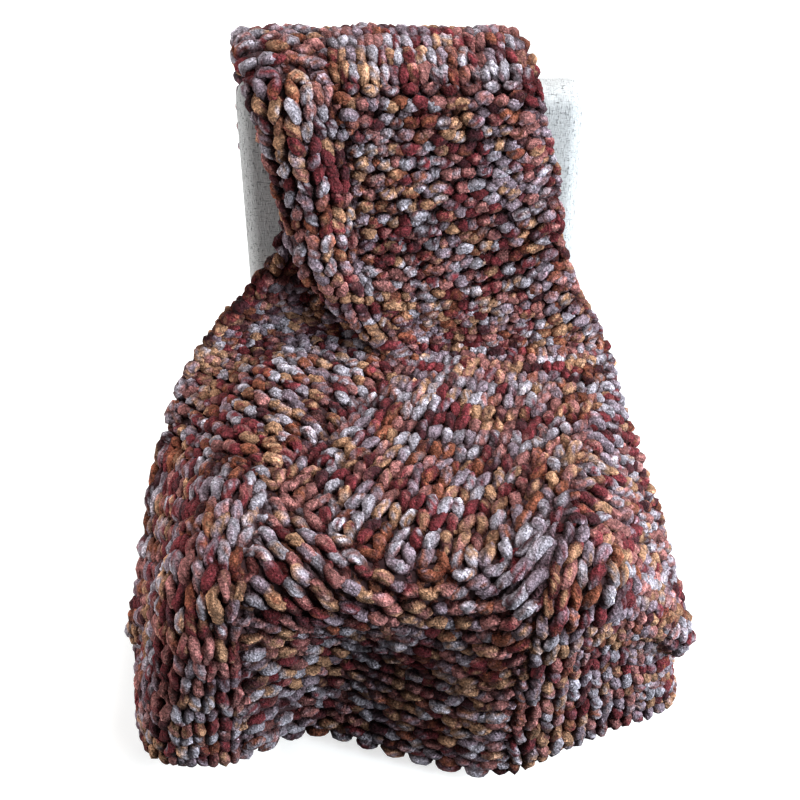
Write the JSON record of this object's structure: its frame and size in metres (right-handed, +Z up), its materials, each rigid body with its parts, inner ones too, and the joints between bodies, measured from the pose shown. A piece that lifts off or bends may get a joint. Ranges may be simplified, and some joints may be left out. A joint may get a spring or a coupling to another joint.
{
  "type": "chunky knit throw draped over an upholstered chair",
  "caption": "Chunky chenille knit throw folded over the back of a plain armless upholstered chair, spread over its seat and falling to the floor in front.",
  "frame": {"origin": "on the floor, under the middle of the whole object's box", "axes": "+Z up, +Y from the seat's front towards the chair's back, +X to the right as seen from the front"},
  "size_m": [0.9274, 0.74, 1.0302],
  "materials": {
    "chenille_yarn": "soft fuzzy chenille yarn, variegated lavender grey, taupe, rust and burgundy",
    "upholstery": "matt pale tweed weave with dark flecks",
    "leg_wood": "dark stained, satin"
  },
  "bodies": {
    "root": {"throw": "chenille_yarn", "chair_seat": "upholstery", "chair_back": "upholstery", "chair_leg_front_left": "leg_wood", "chair_leg_front_right": "leg_wood", "chair_leg_rear_left": "leg_wood", "chair_leg_rear_right": "leg_wood"}
  },
  "joints": []
}
